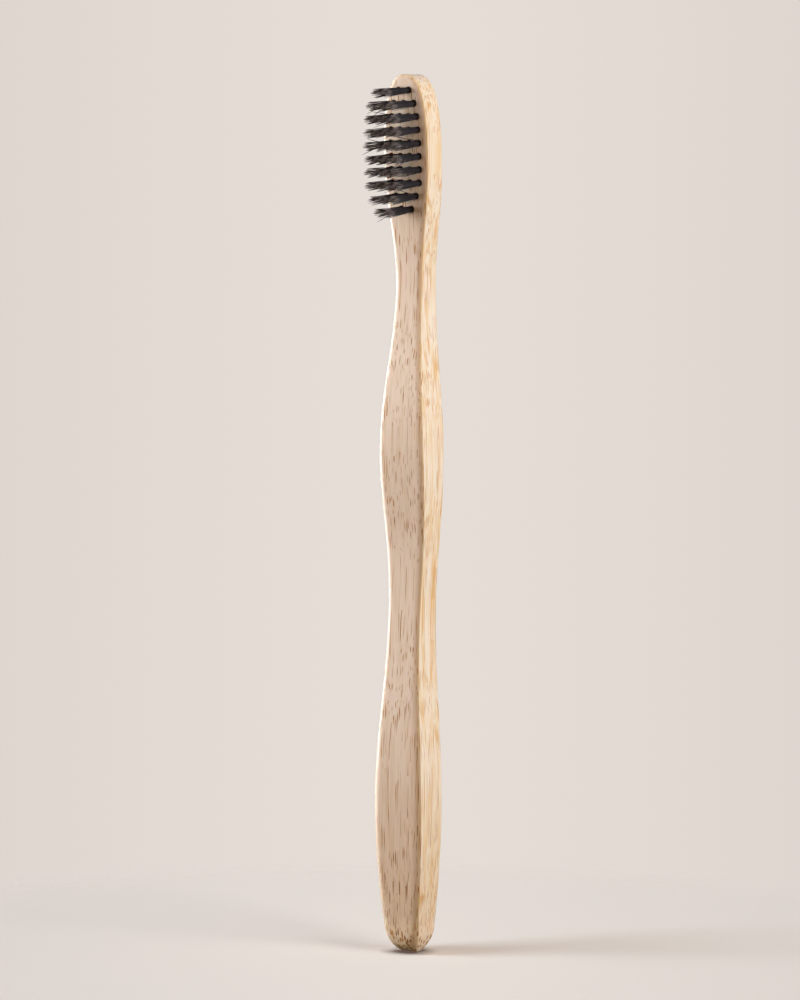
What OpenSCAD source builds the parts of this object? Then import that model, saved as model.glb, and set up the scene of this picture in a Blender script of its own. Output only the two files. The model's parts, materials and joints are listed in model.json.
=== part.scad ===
// Manual toothbrush: a handle milled from one strip of bamboo, and nylon tufts that small metal anchors
// hold in its head. It is upright, its foot at the origin, the head up along +Z, the bristles along -Y.
// Each tuft is folded over its own anchor and driven into a blind hole, so nothing is glued or moves.

/* [Length] */
// Length from the foot of the handle to the tip of the head
brush_length = 190; // [170:1:200]
// Distance from the tip of the head down to the narrowest place of the neck
neck_reach = 45.5; // [42:0.5:54]
// Distance from the tip of the head down to its widest place
head_reach = 18; // [15:0.5:20]

/* [Widths] */
// Width at the foot, before it is rounded off
foot_width = 7.7; // [6.5:0.1:9.5]
// Width of the lower grip, the widest place of the handle
grip_width = 12.1; // [10.5:0.1:14]
// Width of the waist between the two grips
waist_width = 8.2; // [7:0.1:10]
// Width of the thumb grip
thumb_width = 11.4; // [10:0.1:13.5]
// Width of the neck at its narrowest
neck_width = 6.7; // [6:0.1:8.5]
// Width of the head at its widest
head_width = 11.3; // [11:0.1:13]

/* [Thicknesses] */
// Thickness at the foot, before it is rounded off
foot_thickness = 7.5; // [6.5:0.1:8.5]
// Thickness of the lower grip
grip_thickness = 9.7; // [8.5:0.1:11]
// Thickness of the waist
waist_thickness = 7.3; // [6.5:0.1:8]
// Thickness of the thumb grip
thumb_thickness = 9.3; // [8:0.1:10.5]
// Thickness of the neck and the head
head_thickness = 6.6; // [6:0.1:7.5]

/* [Edges and ends] */
// Reach of the rounding of the front edges at the foot and the lower grip
grip_edge = 2; // [1.2:0.1:2.5]
// Reach of the rounding of the front edges at the waist
waist_edge = 1.4; // [1:0.1:2]
// Reach of the rounding of the front edges at the thumb grip
thumb_edge = 1.5; // [1:0.1:2.2]
// Reach of the rounding of the front edges at the neck
neck_edge = 1.3; // [0.8:0.1:1.8]
// Reach of the rounding of the front edges round the head
head_edge = 1.1; // [0.6:0.1:1.3]
// Angle that this rounding turns through before it meets the flat side in a crease
edge_turn = 55; // [45:5:75]
// Radius of the edges of the back
back_edge = 1; // [0.6:0.1:1.3]
// Height of the rounded foot
foot_round = 5.3; // [3:0.1:7]
// Width of the flat that the foot stands on
foot_flat = 3.9; // [2:0.1:5]
// Width of the flat at the very tip
tip_flat = 1; // [0.6:0.1:3]

/* [Head bend] */
// Angle by which the head leans forward from the line of the handle
head_tilt = 3.5; // [0:0.5:6]
// Length of the neck over which that bend is spread, half of it each side of its middle
bend_length = 16; // [10:1:20]
// Distance from the tip of the head down to the middle of the bend
bend_reach = 44; // [40:1:48]

/* [Tuft holes] */
// Diameter of a tuft hole
hole_diameter = 1.6; // [1.5:0.05:1.8]
// Depth of a tuft hole below the face of the head
hole_depth = 3.6; // [3:0.1:3.9]
// Distance from the tip of the head to the first row of holes
first_row = 3.45; // [3.3:0.05:5]
// Distance between rows
row_pitch = 2.83; // [2.5:0.01:3]
// Distance between holes across a full row
column_pitch = 2.35; // [2.3:0.05:2.6]
// Distance between holes across the shorter rows at both ends
end_pitch = 2.55; // [2.5:0.05:3]

/* [Bristles] */
// Height of the bristles above the face of the head
bristle_length = 9.4; // [7:0.1:11]
// Height to which the bristles stay packed together above the face
packed_height = 0.5; // [0.3:0.1:1]
// Largest difference in length between the bristles of one tuft
bristle_ragged = 0.6; // [0:0.1:1]
// Length of the pointed tip of a bristle
bristle_taper = 1; // [0.6:0.1:1.5]
// Gap between the tips of neighbouring tufts
tip_gap = 0.15; // [0.1:0.05:0.6]
// Gap between neighbouring bristles of a tuft where they leave it
strand_gap = 0.03; // [0.02:0.01:0.06]

/* [Anchors] */
// Thickness of the flat anchor wire
anchor_thickness = 0.3; // [0.2:0.05:0.4]
// Height of an anchor along its hole
anchor_height = 1.4; // [1:0.1:1.8]
// Depth to which each end of an anchor bites into the wall of its hole
anchor_bite = 0.3; // [0.2:0.05:0.4]
// Height of the folded bristles under an anchor
fold_height = 0.6; // [0.4:0.1:0.8]
// Angle of the anchors to the length of the head, so that they cross the grain
anchor_angle = 35; // [0:5:60]

/* [Hidden] */
// Gap between a tuft and the wall and floor of its hole, and between an anchor and its slot
fit_gap = 0.02;
// Length by which a cut runs past the face it leaves
overrun = 1;
// How square the rounded ends are: 2 gives an ellipse, and more gives fuller corners
foot_squareness = 2;
tip_squareness = 2.6;
// Depth by which a bristle starts inside its packed root
strand_sink = 0.2;
// Step used to measure how fast the outline widens
slope_step = 0.01;

// Places of the foot, lower grip, waist and thumb grip, as shares of the length below the neck:
// the thickness crests a little lower, and reaches its least just above the neck
width_place_shares = [0, 0.22, 0.505, 0.74];
thickness_place_shares = [0, 0.25, 0.58, 0.775, 1.03];
// The part of the half width that the rounding of an edge may take
edge_limit_share = 0.92;
// How far out the inner and outer bristles of a tuft stand, as shares of its radius
strand_ring_shares = [0.44, 1];
// Bristles in those two rings
strand_ring_counts = [4, 10];
strand_sides = 4;

// Tufts in each row, from the tip of the head down
tufts_in_row = [2, 3, 4, 4, 4, 4, 4, 4, 3, 2];
// How far apart the holes of each row stand, as shares of their pitch: they draw in where the head narrows
spread_shares = [1, 1, 0.9, 0.95, 1, 1, 1, 0.97, 1, 1];
row_count = len(tufts_in_row);

// Segments in a quarter of a rounded edge, and rings over the foot, over the head and between them
edge_steps = 6;
foot_steps = 9;
head_steps = 18;
middle_steps = 68;
$fn = 48;

below_neck = brush_length - neck_reach;
width_places = [
    for (share = width_place_shares) share * below_neck,
    below_neck,
    brush_length - head_reach
];
widths = [foot_width, grip_width, waist_width, thumb_width, neck_width, head_width];
edges = [grip_edge, grip_edge, waist_edge, thumb_edge, neck_edge, head_edge];
thickness_places = [for (share = thickness_place_shares) share * below_neck];
thicknesses = [foot_thickness, grip_thickness, waist_thickness, thumb_thickness, head_thickness];

// The flat back of the handle lies in this plane, so that the foot is centred on the origin
back_y = foot_thickness / 2;
bend_middle = brush_length - bend_reach;

hole_radius = hole_diameter / 2;
root_radius = hole_radius - fit_gap;
anchor_width = hole_diameter + 2 * anchor_bite;
anchor_floor = fold_height - hole_depth;

// The outer ring of bristles stands strand_gap apart where it leaves the packed root
outer_chord = 2 * sin(180 / strand_ring_counts[1]);
strand_radius = (root_radius * outer_chord - strand_gap) / (2 + outer_chord);
ring_radius_root = root_radius - strand_radius;

// The distance between the holes of a row, and how far out its outer bristles end: just short of the
// next tuft
function hole_pitch(row) =
    (tufts_in_row[row] == max(tufts_in_row) ? column_pitch : end_pitch) * spread_shares[row];
function ring_radius_tip(row) = (min(hole_pitch(row), row_pitch) - tip_gap) / 2 - strand_radius;

function two_digits(n) = str(n < 10 ? "0" : "", n);
function tuft_name(row, column) = str("tuft_row", two_digits(row + 1), "_", column + 1);
function anchor_name(row) = str("anchors_row", two_digits(row + 1));

// A smooth rise from 0 to 1: it flattens out at both ends, or only at its top where it starts at the foot
function ease(t, from_foot) = from_foot ? sin(90 * t) : (1 - cos(180 * t)) / 2;

// The value at height z of a wave that crests and dips at the given places
function wave(z, places, values, i = 0) =
    i >= len(places) - 1 ? values[len(values) - 1]
    : z > places[i + 1] ? wave(z, places, values, i + 1)
    : values[i] + (values[i + 1] - values[i])
        * ease((z - places[i]) / (places[i + 1] - places[i]), i == 0);

// How much of its full width a rounded end has at a distance from the end: a squared ellipse, its tip flat
function end_share(distance, reach, flat_share, squareness) =
    distance >= reach ? 1
    : pow(
        1 - (1 - pow(flat_share, squareness)) * pow((reach - distance) / reach, squareness),
        1 / squareness
    );

// The foot is rounded off in width and in depth alike
function foot_share(z) = end_share(z, foot_round, foot_flat / foot_width, foot_squareness);

// Half the width and half the thickness at height z, and the reach of the rounding of its front edges
function half_width(z) =
    wave(z, width_places, widths) / 2
    * foot_share(z)
    * end_share(brush_length - z, head_reach, tip_flat / head_width, tip_squareness);

function half_thickness(z) = wave(z, thickness_places, thicknesses) / 2 * foot_share(z);
function front_edge(z) = wave(z, width_places, edges);

// How far the rounding of an edge has grown at height z: from nothing to all of it over the two ends
function edge_growth(z, radius) =
    let (distance = min(z, brush_length - z))
    distance >= radius ? 1 : sqrt(1 - pow(1 - distance / radius, 2));

// An edge is measured square to the outline, so a level cut shows more of it on a slope
function edge_reach(z, radius) =
    let (
        low = max(0, z - slope_step),
        high = min(brush_length, z + slope_step),
        slope = (half_width(high) - half_width(low)) / (high - low)
    )
    min(radius * sqrt(1 + pow(slope, 2)), edge_limit_share * half_width(z));

// How far the neck and head have bent forward at height z
function bend(z) =
    let (start = bend_middle - bend_length / 2, past = z - start)
    past <= 0 ? 0
    : past >= bend_length ? tan(head_tilt) * (z - bend_middle)
    : tan(head_tilt) * pow(past, 2) / (2 * bend_length);

// The middle of the thickness, and the face of the head, at height z
function middle_y(z) = back_y - wave(z, thickness_places, thicknesses) / 2 - bend(z);
function face_y(z) = back_y - head_thickness - bend(z);

// A point on the rounding of an edge on the right side at height z. At share 0 it is on the flat side, and
// at share 1 on the back, or on the front, where the rounding starts in a crease
function back_point(z, share) =
    let (turn = 90 * share, reach = edge_reach(z, back_edge), growth = edge_growth(z, back_edge))
    [
        half_width(z) - reach * (1 - cos(turn)),
        middle_y(z) + half_thickness(z) - back_edge * (1 - growth * sin(turn))
    ];

function front_point(z, share) =
    let (
        turn = edge_turn * share,
        reach = edge_reach(z, front_edge(z)),
        drop = front_edge(z) * tan(edge_turn / 2),
        growth = edge_growth(z, front_edge(z))
    )
    [
        half_width(z) - reach * (sin(edge_turn) - sin(edge_turn - turn)) / sin(edge_turn),
        middle_y(z) - half_thickness(z)
            + drop * (1 - growth * (cos(edge_turn - turn) - cos(edge_turn)) / (1 - cos(edge_turn)))
    ];

// A level cut through the handle: a flat back with rounded edges, flat sides, and a flat front whose
// rounded edges meet the sides in a crease
function section(z) =
    [
        for (corner = [0 : 3], step = [0 : edge_steps])
            let (
                share = corner % 2 == 0 ? step / edge_steps : 1 - step / edge_steps,
                point = corner < 2 ? back_point(z, share) : front_point(z, share),
                side = corner == 0 || corner == 3 ? 1 : -1
            )
            [side * point[0], point[1], z]
    ];

// Heights of the cuts: close together over the rounded ends, and even between them
heights = concat(
    [for (i = [0 : foot_steps]) foot_round * (1 - cos(90 * i / foot_steps))],
    [for (i = [1 : middle_steps - 1])
        foot_round + (brush_length - foot_round - head_reach) * i / middle_steps],
    [for (i = [head_steps : -1 : 0]) brush_length - head_reach * (1 - cos(90 * i / head_steps))]
);

// A closed skin over a stack of rings that have the same number of points
module loft(rings, low_centre, high_centre) {
    count = len(rings[0]);
    last = len(rings) - 1;
    low = len(rings) * count;
    high = low + 1;
    points = concat([for (ring = rings, point = ring) point], [low_centre, high_centre]);
    walls = [
        for (k = [0 : last - 1], i = [0 : count - 1])
            let (a = k * count + i, b = k * count + (i + 1) % count)
            for (face = [[a, a + count, b], [b, a + count, b + count]]) face
    ];
    floor_faces = [for (i = [0 : count - 1]) [low, i, (i + 1) % count]];
    roof_faces = [for (i = [0 : count - 1]) [high, last * count + (i + 1) % count, last * count + i]];
    polyhedron(points, concat(walls, floor_faces, roof_faces));
}

// Moves its children to a tuft hole, with their origin on the face and their Z axis out along the bristles
module at_tuft(row, column) {
    across = (column - (tufts_in_row[row] - 1) / 2) * hole_pitch(row);
    down = first_row + row * row_pitch;
    translate([0, face_y(brush_length), brush_length])
        rotate([head_tilt, 0, 0])
            translate([across, 0, -down])
                rotate([90, 0, 0])
                    children();
}

// A flat anchor in its hole, or with a gap the slot that holds it
module anchor_plate(gap) {
    translate([0, 0, anchor_floor - gap])
        rotate([0, 0, 90 - anchor_angle])
            translate([-anchor_width / 2 - gap, -anchor_thickness / 2 - gap, 0])
                cube([anchor_width + 2 * gap, anchor_thickness + 2 * gap, anchor_height + 2 * gap]);
}

// A blind hole for a tuft, with the slot that its anchor cuts into the wall
module tuft_hole() {
    translate([0, 0, -hole_depth])
        cylinder(h = hole_depth + overrun, r = hole_radius);
    anchor_plate(fit_gap);
}

module handle() {
    color("burlywood")
        difference() {
            loft(
                [for (z = heights) section(z)],
                [0, middle_y(0), 0],
                [0, middle_y(brush_length), brush_length]
            );
            for (row = [0 : row_count - 1], column = [0 : tufts_in_row[row] - 1])
                at_tuft(row, column) tuft_hole();
        }
}

// One bristle, from inside the packed root out to its point, fanning away from the middle of the tuft
module strand(ring, angle, length, tip_radius) {
    out = [cos(angle), sin(angle)] * strand_ring_shares[ring];
    start = packed_height - strand_sink;
    function centre(z) =
        let (share = (z - start) / (bristle_length - start))
        concat(out * (ring_radius_root + (tip_radius - ring_radius_root) * share), z);
    function ring_at(z) =
        [for (i = [0 : strand_sides - 1])
            let (turn = angle + 360 * (i + 0.5) / strand_sides)
            centre(z) + strand_radius * [cos(turn), sin(turn), 0]];
    loft([ring_at(start), ring_at(length - bristle_taper)], centre(start), centre(length));
}

// A tuft: its root fills the hole round the anchor, and no two tufts have the same turn or the same ends
module tuft(row, column) {
    strands = strand_ring_counts[0] + strand_ring_counts[1];
    lengths = rands(bristle_length - bristle_ragged, bristle_length, strands, 10 * row + column);
    turn = 40 * row + 70 * column;
    color("#2e2b2d")
        at_tuft(row, column) {
            difference() {
                translate([0, 0, fit_gap - hole_depth])
                    cylinder(h = hole_depth - fit_gap + packed_height, r = root_radius);
                anchor_plate(fit_gap);
            }
            for (ring = [0, 1], i = [0 : strand_ring_counts[ring] - 1])
                strand(
                    ring,
                    turn + 360 * i / strand_ring_counts[ring],
                    lengths[ring * strand_ring_counts[0] + i],
                    ring_radius_tip(row)
                );
        }
}

// The anchors of one row: flat strips of wire, each pinching the fold of its tuft into the wood
module row_anchors(row) {
    color("goldenrod")
        for (column = [0 : tufts_in_row[row] - 1])
            at_tuft(row, column) anchor_plate(0);
}

handle();
for (row = [0 : row_count - 1], column = [0 : tufts_in_row[row] - 1])
    tuft(row, column);
for (row = [0 : row_count - 1])
    row_anchors(row);
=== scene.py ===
# %% [markdown]
# A manual toothbrush with a bamboo handle and tufts of charcoal nylon. The imported model gives every piece
# its true place, so the first step loads it and keeps its box.

# %% Load the frame
import json
import math
import random

import bmesh
import bpy
from mathutils import Matrix, Vector

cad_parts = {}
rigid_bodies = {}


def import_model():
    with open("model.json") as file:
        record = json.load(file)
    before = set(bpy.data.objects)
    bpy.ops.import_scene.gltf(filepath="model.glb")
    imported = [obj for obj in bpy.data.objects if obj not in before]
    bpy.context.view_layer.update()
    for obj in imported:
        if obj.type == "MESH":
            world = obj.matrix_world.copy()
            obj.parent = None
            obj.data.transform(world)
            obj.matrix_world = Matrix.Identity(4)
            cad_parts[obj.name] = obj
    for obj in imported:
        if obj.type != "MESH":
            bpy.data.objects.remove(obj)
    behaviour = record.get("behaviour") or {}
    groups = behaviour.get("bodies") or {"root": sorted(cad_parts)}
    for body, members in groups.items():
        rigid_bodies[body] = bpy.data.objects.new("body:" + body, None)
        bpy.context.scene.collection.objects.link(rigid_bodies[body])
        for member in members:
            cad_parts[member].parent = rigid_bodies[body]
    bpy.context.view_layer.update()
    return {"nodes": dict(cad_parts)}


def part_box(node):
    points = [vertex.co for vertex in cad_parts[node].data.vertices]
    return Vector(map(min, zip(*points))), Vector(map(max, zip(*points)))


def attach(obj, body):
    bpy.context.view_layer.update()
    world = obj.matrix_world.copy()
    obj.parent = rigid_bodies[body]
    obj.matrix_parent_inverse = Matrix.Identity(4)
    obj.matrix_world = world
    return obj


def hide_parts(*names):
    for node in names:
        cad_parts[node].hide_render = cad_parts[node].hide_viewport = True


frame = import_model()
handle_low, handle_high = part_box("handle")
print("frame:", len(frame["nodes"]), "nodes; handle from", tuple(handle_low), "to", tuple(handle_high))

# %% [markdown]
# The camera looks at the brush turned 34 degrees from its face, from a little above and from far away, as
# a product photographer does with a long lens. Far away, the two sides of the slim handle stay almost
# parallel. The whole camera rolls by half a degree, because the brush in the photo leans by that much.

# %% Camera
mm = 0.001
view_turn = math.radians(34)
view_rise = math.radians(4)
view_roll = math.radians(0.5)
view_distance = 1.0
brush_length = handle_high[2] - handle_low[2]
brush_middle = Vector((0, 0, brush_length / 2))
lens_length = 166.5
film_height = 36.0
picture_aspect = 0.8
frame_shift_right = -2.89 * mm
frame_shift_up = 3.35 * mm

to_camera = Vector((
    math.sin(view_turn) * math.cos(view_rise),
    -math.cos(view_turn) * math.cos(view_rise),
    math.sin(view_rise),
))
camera_right = Vector((math.cos(view_turn), math.sin(view_turn), 0))
camera_up = to_camera.cross(camera_right)
aim = brush_middle + camera_right * frame_shift_right + camera_up * frame_shift_up


def add_object(name, data):
    """Puts an object with this data into the scene."""
    thing = bpy.data.objects.new(name, data)
    bpy.context.collection.objects.link(thing)
    return thing


camera_data = bpy.data.cameras.new("photo_camera")
camera_data.lens = lens_length
camera_data.sensor_fit = "AUTO"
camera_data.sensor_width = film_height
camera_data.clip_start = 0.01
camera_data.clip_end = 20
camera = add_object("photo_camera", camera_data)
facing = Matrix((camera_right, camera_up, to_camera)).transposed().to_4x4()
unrolled = Matrix.Translation(aim + to_camera * view_distance) @ facing
camera.matrix_world = unrolled @ Matrix.Rotation(view_roll, 4, "Z")
bpy.context.scene.camera = camera
print("camera at", tuple(round(v, 3) for v in camera.matrix_world.translation))

# %% [markdown]
# A material here is a small tree of nodes. These helpers add a node, name its inputs by keyword and link
# two sockets, so that each finish later reads as a short recipe.

# %% Node helpers
def fill_input(tree, socket, value):
    """Links a socket to another node's output, or sets it to a plain value."""
    if isinstance(value, bpy.types.NodeSocket):
        tree.links.new(value, socket)
    else:
        socket.default_value = value


def add_node(tree, kind, values=None, **settings):
    """Adds one node, sets its properties and fills or links its inputs."""
    node = tree.nodes.new(kind)
    for name, value in settings.items():
        setattr(node, name, value)
    for name, value in (values or {}).items():
        fill_input(tree, node.inputs[name], value)
    return node


def math_node(tree, operation, first, second=0.0):
    return add_node(tree, "ShaderNodeMath", {0: first, 1: second}, operation=operation).outputs[0]


def vector_node(tree, operation, first, second):
    return add_node(tree, "ShaderNodeVectorMath", {0: first, 1: second}, operation=operation).outputs[0]


def parts_of(tree, vector):
    return add_node(tree, "ShaderNodeSeparateXYZ", {"Vector": vector}).outputs


print("node helpers ready")

# %% [markdown]
# Colours are picked as they look on screen, but a shader works with linear light, so one helper turns the
# one into the other. Blender's Mix node has a set of sockets for each kind of data, and those for colours
# are numbers 6, 7 and 2. Map Range turns a slow change, such as height, into a soft border between two
# zones.

# %% Colour helpers
mix_first, mix_second, mix_result = 6, 7, 2


def srgb(red, green, blue):
    """A colour as seen on screen, from 0 to 255, as the linear colour that a shader works with."""
    def linear(value):
        value /= 255
        return value / 12.92 if value <= 0.04045 else ((value + 0.055) / 1.055) ** 2.4
    return (linear(red), linear(green), linear(blue), 1.0)


def mix_colour(tree, factor, first, second, blend="MIX"):
    node = add_node(tree, "ShaderNodeMix", data_type="RGBA", blend_type=blend)
    for index, value in {0: factor, mix_first: first, mix_second: second}.items():
        fill_input(tree, node.inputs[index], value)
    return node.outputs[mix_result]


def map_range(tree, value, low, high, to_low=0.0, to_high=1.0, smooth=True):
    node = add_node(
        tree, "ShaderNodeMapRange", {0: value, 1: low, 2: high, 3: to_low, 4: to_high},
        interpolation_type="SMOOTHSTEP" if smooth else "LINEAR",
    )
    return node.outputs[0]


def start_material(name):
    material = bpy.data.materials.new(name)
    material.use_nodes = True
    material.node_tree.nodes.clear()
    return material


def finish_material(material, values):
    """Adds the shader with these inputs and the output."""
    tree = material.node_tree
    shader = add_node(tree, "ShaderNodeBsdfPrincipled", values)
    add_node(tree, "ShaderNodeOutputMaterial", {"Surface": shader.outputs[0]})
    print(material.name + ":", len(tree.nodes), "nodes")


print("middle grey is", round(srgb(128, 128, 128)[0], 3))

# %% [markdown]
# Bamboo is a bundle of long straight fibres in a pale ground. A solid texture suits it: columns run
# through the whole handle along Z, and the surface simply cuts them. Where the surface runs along the
# fibres they show as long fine lines, where it slopes they shorten to dashes, and at the rounded foot
# they end as dots. This cell lays the columns out as a 2D pattern of cells, and bends it a little, so the
# lines are never ruler straight.

# %% Fibre columns
mm_per_metre = 1000
wander_pace = (0.12, 0.12, 0.05)
wander_reach = (1.6, 1.6, 0)
cell_jitter = 0.85
least_radius_share = 0.55


def wandering_place(tree, in_mm):
    slow = vector_node(tree, "MULTIPLY", in_mm, wander_pace)
    wander = add_node(tree, "ShaderNodeTexNoise", {"Vector": slow, "Scale": 1.0, "Detail": 2.0})
    centred = vector_node(tree, "SUBTRACT", wander.outputs["Color"], (0.5, 0.5, 0.5))
    return vector_node(tree, "ADD", in_mm, vector_node(tree, "MULTIPLY", centred, wander_reach))


def fibre_columns(tree, in_mm, inputs):
    """How much of a bundle there is at each place, and the random numbers of the bundle that it lies in."""
    across = math_node(tree, "DIVIDE", 1.0, inputs["Spacing"])
    deep = math_node(tree, "DIVIDE", across, inputs["Flatness"])
    squeeze = add_node(tree, "ShaderNodeCombineXYZ", {"X": across, "Y": deep}).outputs[0]
    cells_at = vector_node(tree, "MULTIPLY", wandering_place(tree, in_mm), squeeze)
    cells = add_node(
        tree, "ShaderNodeTexVoronoi", {"Vector": cells_at, "Scale": 1.0, "Randomness": cell_jitter},
        voronoi_dimensions="2D", feature="F1",
    ).outputs
    chance = add_node(tree, "ShaderNodeSeparateColor", {"Color": cells["Color"]}).outputs
    distance = math_node(tree, "MULTIPLY", cells["Distance"], inputs["Spacing"])
    thickness = math_node(tree, "ADD", chance[1], least_radius_share)
    radius = math_node(tree, "MULTIPLY", inputs["Radius"], thickness)
    inner = math_node(tree, "MULTIPLY", radius, inputs["Softness"])
    present = math_node(tree, "LESS_THAN", chance[0], inputs["Share"])
    return math_node(tree, "MULTIPLY", map_range(tree, distance, radius, inner), present), chance


print("fibres wander by up to", wander_reach[0] / 2, "mm")

# %% [markdown]
# The same fibres serve several times, thick and thin, so they become a node group with named inputs.
# Along the handle each bundle fades in and out at a pace of its own, from a slow noise that it reads at
# its own place. The group puts out a colour, a mask and a height.

# %% Fibre group
fibre_inputs = {
    "Ground": srgb(236, 214, 186),
    "Fibre": srgb(158, 112, 68),
    "Spacing": 1.0,
    "Flatness": 0.6,
    "Radius": 0.15,
    "Softness": 0.5,
    "Share": 0.8,
    "Run": 9.0,
}
fibre_outputs = {"Colour": "NodeSocketColor", "Mask": "NodeSocketFloat", "Height": "NodeSocketFloat"}
noise_rows = 90.0
fade_range = (0.34, 0.6)
faintest_share = 0.35


def fibre_strength(tree, in_mm, own_number, run):
    own_place = add_node(tree, "ShaderNodeCombineXYZ", {
        "X": math_node(tree, "MULTIPLY", own_number, noise_rows),
        "Y": math_node(tree, "DIVIDE", parts_of(tree, in_mm)["Z"], run),
    }).outputs[0]
    fade = add_node(
        tree, "ShaderNodeTexNoise", {"Vector": own_place, "Scale": 1.0, "Detail": 1.0}, noise_dimensions="2D",
    ).outputs[0]
    return map_range(tree, fade, *fade_range, faintest_share, 1.0)


def fibre_group():
    tree = bpy.data.node_groups.new("bamboo_fibres", "ShaderNodeTree")
    for name, default in fibre_inputs.items():
        kind = "NodeSocketColor" if isinstance(default, tuple) else "NodeSocketFloat"
        tree.interface.new_socket(name, in_out="INPUT", socket_type=kind).default_value = default
    for name, kind in fibre_outputs.items():
        tree.interface.new_socket(name, in_out="OUTPUT", socket_type=kind)
    inputs = add_node(tree, "NodeGroupInput").outputs
    place = add_node(tree, "ShaderNodeTexCoord").outputs["Object"]
    in_mm = vector_node(tree, "MULTIPLY", place, (mm_per_metre, mm_per_metre, mm_per_metre))
    columns, chance = fibre_columns(tree, in_mm, inputs)
    mask = math_node(tree, "MULTIPLY", columns, fibre_strength(tree, in_mm, chance[2], inputs["Run"]))
    add_node(tree, "NodeGroupOutput", {
        "Colour": mix_colour(tree, mask, inputs["Ground"], inputs["Fibre"]),
        "Mask": mask,
        "Height": math_node(tree, "MULTIPLY", mask, -1.0),
    })
    return tree


fibres = fibre_group()
print("fibre group:", len(fibres.nodes), "nodes")

# %% [markdown]
# Between the bundles lies the pale ground, with soft streaks about a centimetre long. The flat sides of
# the real handle look paler and yellower than its front, with amber streaks where the cut crosses the
# layers of the culm. One use of the group draws fine long lines into the ground. Another lays the wide
# amber streaks on the sides, and only faint ones on the side that the photo doesn't show.

# %% Bamboo ground
streak_scale = (1500, 1500, 70)
streak_range = (0.38, 0.66)
face_colours = (srgb(236, 212, 193), srgb(227, 201, 176))
side_colours = (srgb(245, 230, 211), srgb(237, 206, 160))
fine_lines = {"Fibre": srgb(196, 154, 108), "Spacing": 0.5, "Radius": 0.1, "Share": 0.55, "Run": 14.0}
amber_streaks = {"Spacing": 1.2, "Flatness": 1.0, "Radius": 0.36, "Softness": 0.1, "Run": 9.0}
amber_colour = srgb(230, 168, 76)
amber_shares = (0.15, 0.9)
far_side_range = (-0.5, -0.1)
amber_far_share = 0.2


def bamboo_ground(tree, place, facing, sideways):
    streaks_at = vector_node(tree, "MULTIPLY", place, streak_scale)
    streaks = add_node(
        tree, "ShaderNodeTexNoise", {"Vector": streaks_at, "Scale": 1.0, "Detail": 4.0, "Roughness": 0.6},
    ).outputs[0]
    streak = map_range(tree, streaks, *streak_range)
    face, side = mix_colour(tree, streak, *face_colours), mix_colour(tree, streak, *side_colours)
    ground = mix_colour(tree, sideways, face, side)
    fine = add_node(tree, "ShaderNodeGroup", {"Ground": ground, **fine_lines}, node_tree=fibres)
    amber = add_node(tree, "ShaderNodeGroup", amber_streaks, node_tree=fibres).outputs["Mask"]
    on_side = map_range(tree, sideways, 0.0, 1.0, *amber_shares)
    not_far = map_range(tree, facing["X"], *far_side_range, amber_far_share, 1.0)
    amber = math_node(tree, "MULTIPLY", math_node(tree, "MULTIPLY", amber, on_side), not_far)
    return mix_colour(tree, amber, fine.outputs["Colour"], amber_colour)


print("streaks are about", round(mm_per_metre / streak_scale[2]), "mm long")

# %% [markdown]
# The brown bundles come next. A sloping face cuts many of them and one that runs along the fibres only a
# few, so the share of cells that show one grows with the slope. Towards the foot, where the culm is
# denser, all of them show, and they are darker.

# %% Bamboo bundles
bundle_sizes = {"Spacing": 0.5, "Radius": 0.12, "Flatness": 0.8}
face_bundles = (srgb(176, 122, 64), srgb(156, 102, 48))
side_bundles = (srgb(206, 146, 70), srgb(186, 122, 52))
dense_heights = (35 * mm, 8 * mm)
slope_range = (0.005, 0.06)
share_range = (0.25, 0.72)


def bamboo_bundles(tree, ground, height, facing, sideways):
    low = map_range(tree, height, *dense_heights)
    on_face, on_side = mix_colour(tree, low, *face_bundles), mix_colour(tree, low, *side_bundles)
    slope = math_node(tree, "ABSOLUTE", facing["Z"])
    share = math_node(tree, "MAXIMUM", map_range(tree, slope, *slope_range, *share_range), low)
    fibre = mix_colour(tree, sideways, on_face, on_side)
    inputs = {"Ground": ground, "Fibre": fibre, "Share": share, **bundle_sizes}
    return add_node(tree, "ShaderNodeGroup", inputs, node_tree=fibres).outputs


print("bundles are", bundle_sizes["Spacing"], "mm apart")

# %% [markdown]
# At both ends the cutter crosses the fibres. There the sander opens them into short thick bits in a paler
# ground, which a second pattern of cells draws. Painted shade is multiplied on wherever the surface turns
# from the front to the side, on the rounded edge between the lamps at the left and the right, and it grows
# darker towards the foot. The normal tells where that is. The whole handle gets a little painted shade there
# too.

# %% Bamboo ends and painted edge shade
bit_scale = (1800, 1800, 330)
bit_range = (0.5, 0.28)
bit_colours = (srgb(206, 142, 66), srgb(150, 94, 40))
foot_end_heights = (10 * mm, 3 * mm)
tip_end_range = (0.45, 0.85)
tip_end_share = 0.5
pale_end_share = 0.9
pale_end_colour = srgb(255, 234, 210)
edge_from_side = (-0.1, -0.45)
edge_from_front = (-0.97, -0.75)
edge_far_share = 0.35
edge_heights = (150 * mm, 40 * mm)
edge_shade_colours = ((1, 0.94, 0.76, 1), (0.77, 0.71, 0.57, 1))
foot_shade_heights = (50 * mm, 8 * mm)
foot_shade_tint = (0.96, 0.91, 0.84, 1)


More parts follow.
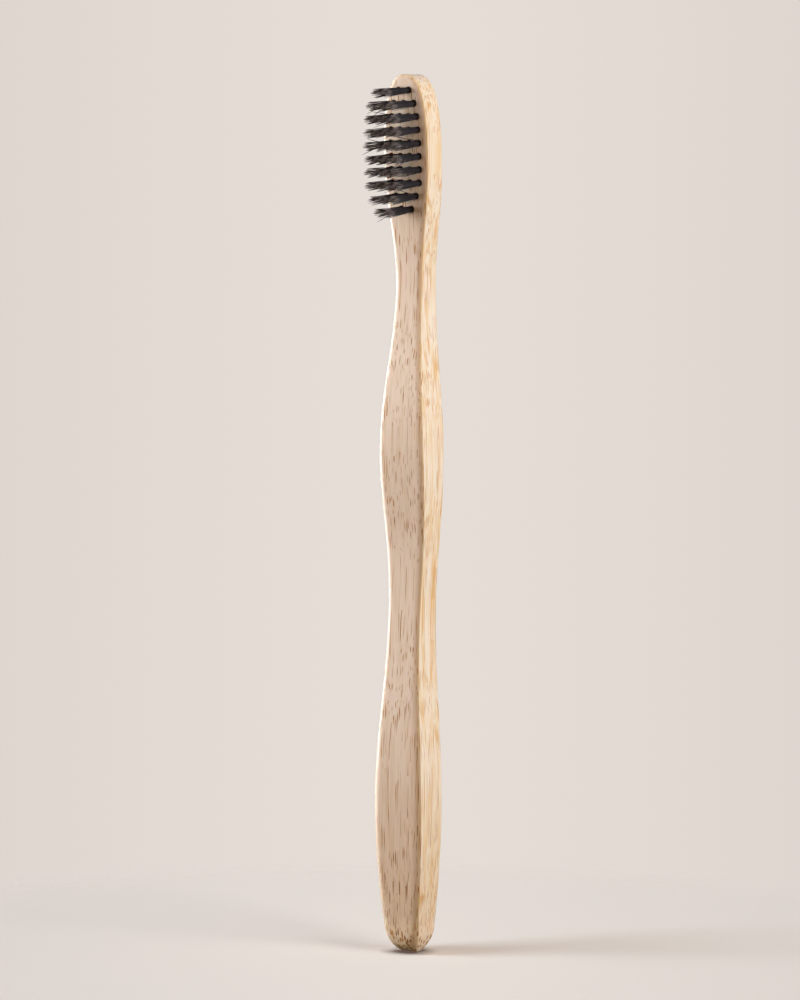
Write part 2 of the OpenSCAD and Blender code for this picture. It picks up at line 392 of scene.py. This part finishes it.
def end_grain(tree, ground, place, height, facing):
    bits_at = vector_node(tree, "MULTIPLY", place, bit_scale)
    bits = add_node(tree, "ShaderNodeTexVoronoi", {"Vector": bits_at, "Scale": 1.0}, feature="F1").outputs
    tip_end = math_node(tree, "MULTIPLY", map_range(tree, facing["Z"], *tip_end_range), tip_end_share)
    at_end = math_node(tree, "MAXIMUM", map_range(tree, height, *foot_end_heights), tip_end)
    paler = math_node(tree, "MULTIPLY", at_end, pale_end_share)
    bit = math_node(tree, "MULTIPLY", map_range(tree, bits["Distance"], *bit_range), at_end)
    bit_colour = mix_colour(tree, parts_of(tree, bits["Color"])["X"], *bit_colours)
    return mix_colour(tree, bit, mix_colour(tree, paler, ground, pale_end_colour), bit_colour)


# Painted shade: a tint darkens the rounded front edge between front and side, more so towards the foot.
def painted_edge_shade(tree, ground, height, facing):
    off_side = map_range(tree, facing["Y"], *edge_from_side)
    off_front = map_range(tree, facing["Y"], *edge_from_front)
    not_far = map_range(tree, facing["X"], *far_side_range, edge_far_share, 1.0)
    edge = math_node(tree, "MULTIPLY", math_node(tree, "MULTIPLY", off_side, off_front), not_far)
    edge_shade = mix_colour(tree, map_range(tree, height, *edge_heights), *edge_shade_colours)
    edge_shaded = mix_colour(tree, edge, ground, edge_shade, "MULTIPLY")
    # Painted shade: the whole handle is made a little darker and warmer towards the foot.
    return mix_colour(tree, map_range(tree, height, *foot_shade_heights), edge_shaded, foot_shade_tint, "MULTIPLY")


print("end grain up to", round(foot_end_heights[0] / mm), "mm above the foot")

# %% [markdown]
# The finish puts these layers on top of each other. The bundles lie a few hundredths of a millimetre
# lower than the ground and are rougher, because the cutter opens the fine tubes inside them. A little
# light scatters under the surface, as in all wood.

# %% Bamboo finish
side_range = (0.6, 0.9)
bundle_depth = 0.04 * mm
ground_and_bundle_roughness = (0.5, 0.68)


def bamboo_finish():
    material = start_material("sanded_bamboo")
    tree = material.node_tree
    coords = add_node(tree, "ShaderNodeTexCoord").outputs
    place, height = coords["Object"], parts_of(tree, coords["Object"])["Z"]
    facing = parts_of(tree, coords["Normal"])
    sideways = map_range(tree, math_node(tree, "ABSOLUTE", facing["X"]), *side_range)
    ground = bamboo_ground(tree, place, facing, sideways)
    bundles = bamboo_bundles(tree, ground, height, facing, sideways)
    with_ends = end_grain(tree, bundles["Colour"], place, height, facing)
    bump = add_node(tree, "ShaderNodeBump", {
        "Strength": 0.3, "Distance": bundle_depth, "Height": bundles["Height"],
    })
    finish_material(material, {
        "Base Color": painted_edge_shade(tree, with_ends, height, facing),
        "Roughness": map_range(tree, bundles["Mask"], 0.0, 1.0, *ground_and_bundle_roughness, smooth=False),
        "Normal": bump.outputs[0],
        "Specular IOR Level": 0.5,
        "Subsurface Weight": 0.2,
        "Subsurface Radius": (1.0, 0.45, 0.2),
        "Subsurface Scale": 2 * mm,
    })
    return material


bamboo = bamboo_finish()

# %% [markdown]
# Charcoal nylon is almost black along the filament. Its drawn-out point is thinner than a hair and lets
# light through, and a painted grey stands in for that light. Towards the root the nylon is painted darker
# still, as painted shade where the tufts crowd together. Each filament carries two attributes that the
# material reads: how far out a place is, from 0 at the root to 1 at the point, and the filament's own tone.

# %% Bristle finish
root_shade_colours = (srgb(27, 22, 27), srgb(43, 36, 42))
outer_colours = (srgb(37, 33, 36), srgb(62, 56, 60))
painted_point_light_colour = srgb(144, 136, 134)
outer_range = (0.35, 0.65)
point_range = (0.7, 1.0)
root_and_point_roughness = (0.5, 0.65)


def carried(tree, name):
    node = add_node(tree, "ShaderNodeAttribute", attribute_name=name, attribute_type="GEOMETRY")
    return node.outputs["Fac"]


def bristle_finish():
    material = start_material("charcoal_nylon")
    tree = material.node_tree
    reach, tone = carried(tree, "reach"), carried(tree, "tone")
    # Painted shade: the root halves are darker than the outer halves, where the tufts crowd together.
    root, outer = mix_colour(tree, tone, *root_shade_colours), mix_colour(tree, tone, *outer_colours)
    body = mix_colour(tree, map_range(tree, reach, *outer_range), root, outer)
    # Painted light: the points turn grey for the light that passes through them.
    finish_material(material, {
        "Base Color": mix_colour(tree, map_range(tree, reach, *point_range), body, painted_point_light_colour),
        "Roughness": map_range(tree, reach, 0.0, 1.0, *root_and_point_roughness, smooth=False),
        "Specular IOR Level": 0.3,
    })
    return material


nylon = bristle_finish()

# %% [markdown]
# The anchors are short strips of flat brass wire. They sit inside the holes and never show, but they get
# fine lines like those of drawn wire all the same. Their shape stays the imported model's own.

# %% Anchor finish
wire_line_scale = (900, 9000, 9000)
wire_line_range = (0.3, 0.7)
wire_line_depth = 0.01 * mm
wire_colours = (srgb(196, 160, 92), srgb(222, 190, 124))
wire_roughness = (0.28, 0.45)


def wire_finish():
    material = start_material("drawn_brass")
    tree = material.node_tree
    place = add_node(tree, "ShaderNodeTexCoord").outputs["Object"]
    lines_at = vector_node(tree, "MULTIPLY", place, wire_line_scale)
    lines = add_node(tree, "ShaderNodeTexNoise", {"Vector": lines_at, "Scale": 1.0, "Detail": 3.0}).outputs[0]
    bump = add_node(tree, "ShaderNodeBump", {"Strength": 0.3, "Distance": wire_line_depth, "Height": lines})
    finish_material(material, {
        "Base Color": mix_colour(tree, lines, *wire_colours),
        "Metallic": 1.0,
        "Roughness": map_range(tree, lines, *wire_line_range, *wire_roughness),
        "Normal": bump.outputs[0],
    })
    return material


brass = wire_finish()
anchor_nodes = [name for name in frame["nodes"] if name.startswith("anchors_")]
for name in anchor_nodes:
    anchor = bpy.data.objects[name]
    anchor.data.materials.clear()
    anchor.data.materials.append(brass)
print("brass on", len(anchor_nodes), "rows of anchors")

# %% [markdown]
# The handle is one strip of bamboo. A milling cutter with a rounded profile shapes its outline and its
# front edges, and the flat sides keep a faint crease where the rounding stops. The back stays flat. That
# makes the handle a loft: a stack of level sections. This cell holds its sizes, which are the packed
# model's own.

# %% Handle sizes
neck_height = brush_length - 45.5 * mm
head_reach = 18 * mm
width_places = [share * neck_height for share in (0, 0.22, 0.505, 0.74, 1)] + [brush_length - head_reach]
widths = [7.7 * mm, 12.1 * mm, 8.2 * mm, 11.4 * mm, 6.7 * mm, 11.3 * mm]
front_edges = [2 * mm, 2 * mm, 1.4 * mm, 1.5 * mm, 1.3 * mm, 1.1 * mm]
edge_turn = math.radians(55)
edge_limit_share = 0.92
back_edge = 1 * mm
thickness_places = [share * neck_height for share in (0, 0.25, 0.58, 0.775, 1.03)]
thicknesses = [7.5 * mm, 9.7 * mm, 7.3 * mm, 9.3 * mm, 6.6 * mm]
foot_round = 5.3 * mm
foot_flat_share = 3.9 / 7.7
foot_squareness = 2
tip_flat_share = 1 / 11.3
tip_squareness = 2.6
head_tilt = math.radians(3.5)
bend_length = 16 * mm
bend_middle = brush_length - 44 * mm
back_y = 3.75 * mm
print("grips", widths[1] / mm, "and", widths[3] / mm, "mm wide, head", widths[-1] / mm, "mm")

# %% [markdown]
# Between its grips and waists the handle swells and narrows as a wave does, so cosines join the widths
# and the thicknesses. Both ends are rounded off as squared ellipses, and the neck bends the head forward
# on a parabola that runs on as a straight line.

# %% Handle waves
def wave(z, places, values):
    """The value at height z of a wave that crests and dips at the given places."""
    if z >= places[-1]:
        return values[-1]
    index = max(i for i in range(len(places) - 1) if z >= places[i])
    t = (z - places[index]) / (places[index + 1] - places[index])
    rise = math.sin(math.pi / 2 * t) if index == 0 else (1 - math.cos(math.pi * t)) / 2
    return values[index] + (values[index + 1] - values[index]) * rise


def end_share(distance, reach, flat_share, squareness):
    """How much of its full width a rounded end has at a distance from the end."""
    if distance >= reach:
        return 1.0
    fall = (1 - flat_share ** squareness) * ((reach - distance) / reach) ** squareness
    return (1 - fall) ** (1 / squareness)


def foot_share(z):
    return end_share(z, foot_round, foot_flat_share, foot_squareness)


def half_width(z):
    tip = end_share(brush_length - z, head_reach, tip_flat_share, tip_squareness)
    return wave(z, width_places, widths) / 2 * foot_share(z) * tip


def half_thickness(z):
    return wave(z, thickness_places, thicknesses) / 2 * foot_share(z)


def bend(z):
    """How far the neck and head lean forward at height z."""
    past = z - (bend_middle - bend_length / 2)
    if past <= 0:
        return 0.0
    if past >= bend_length:
        return math.tan(head_tilt) * (z - bend_middle)
    return math.tan(head_tilt) * past ** 2 / (2 * bend_length)


def middle_y(z):
    return back_y - wave(z, thickness_places, thicknesses) / 2 - bend(z)


print("the tip leans forward by", round(bend(brush_length) / mm, 2), "mm")

# %% [markdown]
# Each section has four corners. The two at the back are quarter circles. The two at the front turn
# through 55 degrees only and then meet the flat side in a crease, which a small radius softens here. At
# both ends of the handle the crease fades into a full quarter turn.

# %% Handle section
corner_steps = 12
crease_steps = 4
crease_round = 0.3 * mm
crease_start = 9 * mm
crease_end = 6 * mm
crease_fade_power = 0.7
sampling_step = 0.01 * mm


def edge_reach(z, radius):
    """An edge is measured square to the outline, so a level cut shows more of it on a slope."""
    low, high = max(0.0, z - sampling_step), min(brush_length, z + sampling_step)
    slope = (half_width(high) - half_width(low)) / (high - low)
    return min(radius * math.sqrt(1 + slope ** 2), edge_limit_share * half_width(z))


def edge_growth(z, radius):
    """How much of an edge there is at height z: it grows from nothing over the two ends."""
    distance = min(z, brush_length - z)
    return 1.0 if distance >= radius else math.sqrt(max(0.0, 1 - (1 - distance / radius) ** 2))


def back_corner(share, z):
    """A point on the rounded edge of the back: on the flat side at share 0, on the back at share 1."""
    turn = math.pi / 2 * share
    x = half_width(z) - edge_reach(z, back_edge) * (1 - math.cos(turn))
    y = middle_y(z) + half_thickness(z) - back_edge * (1 - edge_growth(z, back_edge) * math.sin(turn))
    return x, y


def front_corner(step, z):
    """A point on the front edge: step 0 is on the flat side, and the next few turn over the soft crease."""
    edge = wave(z, width_places, front_edges)
    spread, growth = edge_reach(z, edge) / edge, edge_growth(z, edge)
    fade = min(1.0, z / crease_start, (brush_length - z) / crease_end) ** crease_fade_power
    crease_turn = (math.pi / 2 - edge_turn) * fade
    front_turn = math.pi / 2 - crease_turn
    crease_y = middle_y(z) - half_thickness(z) + edge * math.tan(front_turn / 2)
    crease_side = crease_round * math.tan(crease_turn / 2)
    if step < crease_steps:
        turn = crease_turn * step / crease_steps
        inwards = crease_round * (1 - math.cos(turn))
        forwards = crease_round * math.sin(turn) - crease_side
    else:
        start = front_turn - crease_side * math.sin(front_turn) / edge
        turn = start * (1 - (step - crease_steps) / (corner_steps - crease_steps))
        inwards = edge * (1 - math.sin(turn) / math.sin(front_turn))
        forwards = edge * (math.cos(turn) - math.cos(front_turn)) / math.sin(front_turn)
    return half_width(z) - spread * inwards, crease_y - growth * forwards


def section_place(spot, z):
    """Where the vertex with this number lies on the section at height z."""
    corner, step = divmod(spot, corner_steps + 1)
    if corner in (1, 3):
        step = corner_steps - step
    x, y = back_corner(step / corner_steps, z) if corner < 2 else front_corner(step, z)
    return Vector((x if corner in (0, 3) else -x, y, z))


print("a section has", 4 * (corner_steps + 1), "points")

# %% [markdown]
# One ring of vertices starts at the foot and is extruded up the handle again and again, and each new ring
# is placed on its section. Extruding keeps the number that each vertex carries, so a vertex always knows
# its spot on the ring. Rings stand close together at the rounded ends and further apart along the handle.

# %% Handle body
foot_rings = 14
head_rings = 46
body_rings = 150


def handle_heights():
    foot = [foot_round * (1 - math.cos(math.pi / 2 * i / foot_rings)) for i in range(foot_rings + 1)]
    span = brush_length - foot_round - head_reach
    body = [foot_round + span * i / body_rings for i in range(1, body_rings)]
    turns = [math.pi / 2 * i / head_rings for i in range(head_rings, -1, -1)]
    return foot + body + [brush_length - head_reach * (1 - math.cos(turn)) for turn in turns]


def extrude_ring(bm, edges):
    """Extrudes edges, and gives back the new vertices and the new edges between them."""
    grown = bmesh.ops.extrude_edge_only(bm, edges=edges)["geom"]
    verts = {item for item in grown if isinstance(item, bmesh.types.BMVert)}
    edges = [item for item in grown if isinstance(item, bmesh.types.BMEdge) and set(item.verts) <= verts]
    return verts, edges


def closed_mesh(bm, name):
    """Closes the open ends, turns all faces outwards and makes the mesh."""
    bmesh.ops.holes_fill(bm, edges=[edge for edge in bm.edges if edge.is_boundary], sides=0)
    bmesh.ops.recalc_face_normals(bm, faces=bm.faces)
    mesh = bpy.data.meshes.new(name)
    bm.to_mesh(mesh)
    bm.free()
    return mesh


def loft_handle():
    bm = bmesh.new()
    number = bm.verts.layers.int.new("spot")
    first = bmesh.ops.create_circle(bm, cap_ends=False, segments=4 * (corner_steps + 1), radius=mm)["verts"]
    for spot, vert in enumerate(first):
        vert[number] = spot
        vert.co = section_place(spot, 0.0)
    edges = bm.edges[:]
    for z in handle_heights()[1:]:
        verts, edges = extrude_ring(bm, edges)
        for vert in verts:
            vert.co = section_place(vert[number], z)
    return closed_mesh(bm, "handle_bamboo")


handle = add_object("handle_bamboo", loft_handle())
print("handle body:", len(handle.data.polygons), "faces")

# %% [markdown]
# Each tuft has its own blind hole, drilled square to the tilted face of the head. This helper gives the
# place and the direction of a hole from its row and column. The rows at both ends of the head are
# shorter.

# %% Tuft places
tufts_in_row = [2, 3, 4, 4, 4, 4, 4, 4, 3, 2]
spread_shares = [1, 1, 0.9, 0.95, 1, 1, 1, 0.97, 1, 1]
first_row = 3.45 * mm
row_pitch = 2.83 * mm
column_pitch = 2.35 * mm
end_pitch = 2.55 * mm
head_thickness = thicknesses[-1]


def tuft_place(row, column):
    """The frame of a tuft: its origin on the face of the head, its Z axis out along the bristles."""
    pitch = (column_pitch if tufts_in_row[row] == max(tufts_in_row) else end_pitch) * spread_shares[row]
    across = (column - (tufts_in_row[row] - 1) / 2) * pitch
    face_y = back_y - head_thickness - bend(brush_length)
    return (
        Matrix.Translation((0, face_y, brush_length))
        @ Matrix.Rotation(head_tilt, 4, "X")
        @ Matrix.Translation((across, 0, -(first_row + row * row_pitch)))
        @ Matrix.Rotation(math.pi / 2, 4, "X")
    )


tuft_spots = [(row, column) for row, count in enumerate(tufts_in_row) for column in range(count)]
print(len(tuft_spots), "tufts in", len(tufts_in_row), "rows")

# %% [markdown]
# The holes are cut in one pass with a Boolean modifier, because that is what a drill does: it takes a
# cylinder away. The result becomes the handle's own mesh, so no modifier is left on it. Faces are shaded
# smooth, but edges that turn sharply, such as the rims of the holes, stay sharp.

# %% Drilled handle
hole_radius = 0.8 * mm
hole_depth = 3.6 * mm
hole_sides = 40
drill_overrun = 1 * mm
sharp_turn = math.radians(40)


def drill_holes(target):
    bm = bmesh.new()
    for row, column in tuft_spots:
        shift = Matrix.Translation((0, 0, (drill_overrun - hole_depth) / 2))
        bmesh.ops.create_cone(
            bm, cap_ends=True, segments=hole_sides, radius1=hole_radius, radius2=hole_radius,
            depth=hole_depth + drill_overrun, matrix=tuft_place(row, column) @ shift,
        )
    drill_mesh = bpy.data.meshes.new("drill")
    bm.to_mesh(drill_mesh)
    bm.free()
    drill = add_object("drill", drill_mesh)
    cut = target.modifiers.new("drill", "BOOLEAN")
    cut.object = drill
    cut.operation = "DIFFERENCE"
    cut.solver = "EXACT"
    drilled = bpy.data.meshes.new_from_object(target.evaluated_get(bpy.context.evaluated_depsgraph_get()))
    target.modifiers.clear()
    target.data = drilled
    bpy.data.objects.remove(drill)


drill_holes(handle)
handle.data.shade_smooth()
handle.data.set_sharp_from_angle(angle=sharp_turn)
handle.data.materials.clear()
handle.data.materials.append(bamboo)
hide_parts("handle")
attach(handle, "root")
print("handle drilled:", len(handle.data.polygons), "faces,", len(tuft_spots), "holes")

# %% [markdown]
# A tuft is a bunch of nylon filaments folded in half over its anchor and driven into the hole. Inside the
# hole they lie side by side and almost touch, in the triangular packing that round wires take when they
# are pressed together, on each side of the anchor.

# %% Packed filaments
filament_radius = 0.075 * mm
packing_step = 0.157 * mm
wall_gap_share = 1.1
root_radius = 0.68 * mm
anchor_half_thickness = 0.15 * mm


def packed_spots():
    """Places of the filaments on one side of the anchor."""
    spots = []
    span = int(root_radius / packing_step) + 2
    for j in range(span):
        v = anchor_half_thickness + wall_gap_share * filament_radius + j * packing_step * math.sqrt(3) / 2
        for i in range(-span, span + 1):
            u = (i + 0.5 * (j % 2)) * packing_step
            if math.hypot(u, v) <= root_radius - filament_radius:
                spots.append((u, v))
    return spots


print("each tuft folds", len(packed_spots()), "filaments, so it shows", 2 * len(packed_spots()), "ends")

# %% [markdown]
# Each filament shows two ends. Its path comes down on one side of the anchor, turns under it and goes up
# on the other side. Outside the hole the filaments fan out, bow a little and end in a drawn-out point,
# none at the same length, and now and then one goes astray. A seeded random number decides, so each run
# grows the same.

# %% Filament paths
fan_radius = 1.12 * mm
fan_power = 1.2
bristle_length = 9.4 * mm
bristle_ragged = 0.28 * mm
ragged_power = 1.5
taper_length = 1.3 * mm
point_share = 0.5
bow_reach = 0.16 * mm
stray_share = 0.014
stray_reach, stray_power = 2.4 * mm, 1.3
usual_reach, usual_power = 0.13 * mm, 2.5
anchor_above_floor = 0.6 * mm
anchor_bottom = anchor_above_floor - hole_depth
fold_depth_share = 0.78
free_steps = (0, 0.35, 0.72, 0.88, 1.0)
fold_steps = (0, 0.5, 1.0)


def free_end(u, v, lean, chance):
    """One free half of a filament, from the face of the head out to its point."""
    length = bristle_length - bristle_ragged * chance.random() ** ragged_power
    bow = chance.uniform(-bow_reach, bow_reach)
    turn = chance.uniform(0, 2 * math.pi)
    strays = chance.random() < stray_share
    reach, power = (stray_reach, stray_power) if strays else (usual_reach, usual_power)
    end = (chance.uniform(-1, 1) * reach, chance.uniform(-1, 1) * reach)
    points = []
    for t in free_steps:
        spread = 1 + (fan_radius / root_radius - 1) * t ** fan_power
        side = bow * math.sin(math.pi * t)
        x = u * spread + lean[0] * t * length + math.cos(turn) * side + end[0] * t ** power
        y = v * spread + lean[1] * t * length + math.sin(turn) * side + end[1] * t ** power
        thinner = min(1.0, point_share + (1 - point_share) * (1 - t) * length / taper_length)
        points.append((Vector((x, y, t * length)), thinner, t))
    return points


def filament_path(u, v, lean, chance):
    """The whole folded filament, from one point round to the other."""
    fold = []
    for t in fold_steps:
        angle = math.pi * t
        z = anchor_bottom - fold_depth_share * v * math.sin(angle)
        fold.append((Vector((u, v * math.cos(angle), z)), 1.0, 0.0))
    return free_end(u, v, lean, chance)[::-1] + fold + free_end(u, -v, lean, chance)


print("a path has", 2 * len(free_steps) + len(fold_steps), "points")

# %% [markdown]
# All filaments of a tuft grow together. One small ring of vertices for each is extruded from step to
# step, and every vertex carries the number of its filament and of its corner, so it can be set on its
# path. Two more numbers travel along for the material. The whole tuft droops a little, and each leans a
# touch its own way.

# %% Tuft shape
filament_sides = 4
anchor_slant = math.radians(35)
anchor_turn = math.pi / 2 - anchor_slant
droop_slope = 0.042
droop = Matrix.Rotation(-anchor_turn, 2) @ Vector((0, -droop_slope))
lean_spread = 0.008


def ring_place(path, step, corner):
    """Where one corner of a filament's ring lies at a step of its path."""
    place, thinner = path[step][:2]
    ahead, behind = path[min(step + 1, len(path) - 1)][0], path[max(step - 1, 0)][0]
    side = Vector((1, 0, 0))
    across = (ahead - behind).normalized().cross(side)
    angle = 2 * math.pi * corner / filament_sides
    return place + filament_radius * thinner * (side * math.cos(angle) + across * math.sin(angle))


def grow_tuft(name, seed):
    chance = random.Random(seed)
    lean = droop + Vector((chance.gauss(0, lean_spread), chance.gauss(0, lean_spread)))
    paths = [filament_path(u, v, lean, chance) for u, v in packed_spots()]
    shades = [chance.random() for _ in paths]
    bm = bmesh.new()
    filament = bm.verts.layers.int.new("filament")
    corner = bm.verts.layers.int.new("corner")
    reach = bm.verts.layers.float.new("reach")
    tone = bm.verts.layers.float.new("tone")

    def settle(vert, step):
        path = paths[vert[filament]]
        vert.co = ring_place(path, step, vert[corner])
        vert[reach] = path[step][2]
        vert[tone] = shades[vert[filament]]

    for index in range(len(paths)):
        ring = bmesh.ops.create_circle(bm, cap_ends=True, segments=filament_sides, radius=filament_radius)
        for number, vert in enumerate(ring["verts"]):
            vert[filament] = index
            vert[corner] = number
            settle(vert, 0)
    edges = bm.edges[:]
    for step in range(1, len(paths[0])):
        verts, edges = extrude_ring(bm, edges)
        for vert in verts:
            settle(vert, step)
    return closed_mesh(bm, name)


print("tufts droop by", round(math.degrees(math.atan(droop_slope)), 1), "degrees")

# %% [markdown]
# Every hole gets its own tuft, grown from its own seed, turned to its anchor and set into its place. It
# replaces the plain tuft of the imported model, which is hidden.

# %% Tufts
seeds_in_row = 100
bristle_faces = 0
for row, column in tuft_spots:
    name = f"bristles_row{row + 1:02d}_{column + 1}"
    mesh = grow_tuft(name, seeds_in_row * row + column)
    mesh.shade_smooth()
    mesh.transform(tuft_place(row, column) @ Matrix.Rotation(anchor_turn, 4, "Z"))
    mesh.materials.append(nylon)
    tuft = add_object(name, mesh)
    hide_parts(f"tuft_row{row + 1:02d}_{column + 1}")
    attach(tuft, "root")
    bristle_faces += len(mesh.polygons)
print(len(tuft_spots), "tufts,", bristle_faces, "faces")

# %% [markdown]
# The picture has no horizon: floor and background are one pale beige. A round floor takes the shadows
# close to the brush. It throws no light back, because the pale floor of a studio is far bigger than this
# disc, and a lamp can stand in for it with less noise.

# %% Floor
floor_radius = 150 * mm
floor_sides = 96
floor_drop = 0.05 * mm

floor_bm = bmesh.new()
bmesh.ops.create_circle(floor_bm, cap_ends=True, segments=floor_sides, radius=floor_radius)
floor_mesh = bpy.data.meshes.new("floor")
floor_bm.to_mesh(floor_mesh)
floor_bm.free()
floor = add_object("floor", floor_mesh)
floor.location = (0, 0, -floor_drop)
floor.visible_diffuse = False
floor.visible_glossy = False
floor.visible_shadow = False
print("floor of", floor_radius, "m")

# %% [markdown]
# The background is a little darker to the left and right, where the studio light falls off, and the floor
# has to follow it, so one helper paints that fall-off into both. Close round the foot the paper is painted
# darker, a painted contact shadow. The paper also glows a little, painted light that stands in for an
# unshadowed lamp and keeps its shadows light and warm, and towards its edge it fades away into the
# background. The paper also glows a little, which keeps its shadows as light and warm as the photo's, and
# towards its edge it fades away into the background.

# %% Floor paper
edge_level = 0.93
falloff_power = 1.4
half_view = film_height * picture_aspect / 2 / lens_length
fade_start, fade_end = 90 * mm, 145 * mm
contact_shadow_range = (2 * mm, 7.5 * mm)
contact_shadow_level = 0.45
paper_colour = (0.8, 0.8, 0.8)
paper_painted_light = (0.219, 0.142, 0.124)


def side_falloff(tree, off_centre):
    """One in the middle of the picture, a little less at its left and right edge."""
    curve = math_node(tree, "POWER", off_centre, falloff_power)
    return map_range(tree, curve, 0.0, 1.0, 1.0, edge_level, smooth=False)


def sideways_part(tree, vector, right):
    """How far a place or a direction lies to the left or right, along the vector right."""
    dot = add_node(tree, "ShaderNodeVectorMath", {0: vector, 1: tuple(right)}, operation="DOT_PRODUCT")
    return math_node(tree, "ABSOLUTE", dot.outputs["Value"])


def floor_paper():
    material = start_material("pale_paper")
    tree = material.node_tree
    place = add_node(tree, "ShaderNodeTexCoord").outputs["Object"]
    flat_place = vector_node(tree, "MULTIPLY", place, (1, 1, 0))
    away = add_node(tree, "ShaderNodeVectorMath", {0: flat_place}, operation="LENGTH").outputs["Value"]
    falloff = side_falloff(tree, sideways_part(tree, place, camera_right / half_view))
    # Painted contact shadow: the paper is darker close round the foot.
    contact_shadow = map_range(tree, away, *contact_shadow_range, contact_shadow_level, 1.0)
    level = math_node(tree, "MULTIPLY", falloff, contact_shadow)
    # Painted light: the glow stands in for a lamp on the floor that casts no shadow.
    lit, painted_light = (
        add_node(tree, "ShaderNodeVectorMath", {0: colour, "Scale": level}, operation="SCALE").outputs[0]
        for colour in (paper_colour, paper_painted_light)
    )
    finish_material(material, {
        "Base Color": lit,
        "Roughness": 0.95,
        "Specular IOR Level": 0.0,
        "Alpha": map_range(tree, away, fade_start, fade_end, 1.0, 0.0),
        "Emission Color": painted_light,
        "Emission Strength": 1.0,
    })
    return material


floor_mesh.materials.append(floor_paper())

# %% [markdown]
# The world does two things. Camera rays see the beige of the background, and all other rays see a faint
# warm light from everywhere, so the brush is lit by its lamps and not by the backdrop. The Standard view
# transform shows the colours as they were picked.

# %% Background
background_colour = srgb(229, 221, 214)
ambient_light = {"Color": (1.0, 0.95, 0.9, 1), "Strength": 0.03}


def studio_world():
    world = bpy.data.worlds.new("studio")
    world.use_nodes = True
    tree = world.node_tree
    tree.nodes.clear()
    towards = add_node(tree, "ShaderNodeTexCoord").outputs["Generated"]
    off_centre = math_node(tree, "DIVIDE", sideways_part(tree, towards, camera_right), half_view)
    seen = add_node(tree, "ShaderNodeBackground", {
        "Color": background_colour, "Strength": side_falloff(tree, off_centre),
    })
    ambient = add_node(tree, "ShaderNodeBackground", ambient_light)
    ray = add_node(tree, "ShaderNodeLightPath").outputs["Is Camera Ray"]
    both = add_node(tree, "ShaderNodeMixShader", {0: ray, 1: ambient.outputs[0], 2: seen.outputs[0]})
    add_node(tree, "ShaderNodeOutputWorld", {"Surface": both.outputs[0]})
    return world


bpy.context.scene.world = studio_world()
bpy.context.scene.view_settings.view_transform = "Standard"
bpy.context.scene.view_settings.look = "None"
print("half of the view spans", round(math.degrees(math.atan(half_view)), 1), "degrees")

# %% [markdown]
# A soft box is a rectangular area light. It is placed by its azimuth and elevation round the brush, as on
# a photographer's lighting plan, and faces a point on the brush. Light linking tells each one what it
# lights: the floor alone, or all but the floor. So the shadows can be shaped without a change to the
# brush.

# %% Soft boxes
def floor_link(name, state):
    """A light linking collection that holds only the floor."""
    linked = bpy.data.collections.new(name)
    linked.objects.link(floor)
    linked.collection_objects[0].light_linking.link_state = state
    return linked


def soft_box(name, lit, azimuth, elevation, distance, width, height, watts, colour, target_height):
    """Angles in degrees, azimuth 0 in front of the brush and growing to its right, sizes in metres."""
    turn, rise = math.radians(azimuth), math.radians(elevation)
    out = Vector((math.sin(turn) * math.cos(rise), -math.cos(turn) * math.cos(rise), math.sin(rise)))
    data = bpy.data.lights.new(name, "AREA")
    data.shape = "RECTANGLE"
    data.size, data.size_y = width, height
    data.energy = watts
    data.color = colour
    light = add_object(name, data)
    turned = out.to_track_quat("Z", "Y").to_matrix().to_4x4()
    light.matrix_world = Matrix.Translation(Vector((0, 0, target_height)) + out * distance) @ turned
    light.light_linking.receiver_collection = lit
    light.visible_camera = False


only_floor = floor_link("only_floor", "INCLUDE")
all_but_floor = floor_link("all_but_floor", "EXCLUDE")
print("light links:", only_floor.name, "and", all_but_floor.name)

# %% [markdown]
# Eight soft boxes light the brush. A large one at the left lights the front, and a tall one at the right,
# behind the brush, lights the side. Little of either reaches the rounded edge between them, which stays
# darker and shows the form. A strip far to the left draws the bright rim. Two weak warm ones fill the
# shade, two high ones add cooler light from above, and the one below stands in for the light that a floor
# throws back.
#
# Three more light the floor, from far away so that it is lit evenly. Two of them cast the soft shadows of
# the brush to both sides, and the wide one overhead keeps these shadows light.

# %% Lights
brush_lights = {
    "box_left": (-47, 0, 0.45, 0.28, 0.28, 1.73, (0.98, 0.96, 0.92), 0.225),
    "box_right": (117, 4, 0.45, 0.18, 0.36, 1.8, (0.98, 0.965, 0.955), 0.17),
    "strip_left": (-95, 0, 0.45, 0.08, 0.26, 2.4, (0.92, 0.97, 1.02), 0.12),
    "box_low": (45, -20, 0.2, 0.2, 0.1, 0.087, (1.0, 0.93, 0.84), 0),
    "box_front": (28, 0, 0.5, 0.2, 0.16, 0.3, (1.0, 0.8, 0.62), 0.18),
    "box_fill": (60, 5, 0.6, 0.2, 0.25, 0.34, (1.0, 0.52, 0.14), 0.24),
    "top_left": (-43, 64, 1.0, 0.22, 0.35, 2.7, (0.84, 1.0, 1.16), 0.02),
    "top_right": (84, 60, 1.0, 0.3, 0.5, 2.4, (0.92, 1.0, 1.1), 0.02),
}
floor_lights = {
    "over_left": (-43, 68, 3.0, 0.66, 0.9, 30, (0.87, 1.0, 1.06), 0.02),
    "over_right": (82, 67, 3.0, 0.9, 1.2, 24, (1.15, 1.15, 0.98), 0.02),
    "over_floor": (0, 90, 3.0, 2.4, 2.4, 13, (1.0, 0.9, 0.8), 0),
}
for name, settings in brush_lights.items():
    soft_box(name, all_but_floor, *settings)
for name, settings in floor_lights.items():
    soft_box(name, only_floor, *settings)
print("lights:", len(brush_lights), "on the brush and", len(floor_lights), "on the floor")
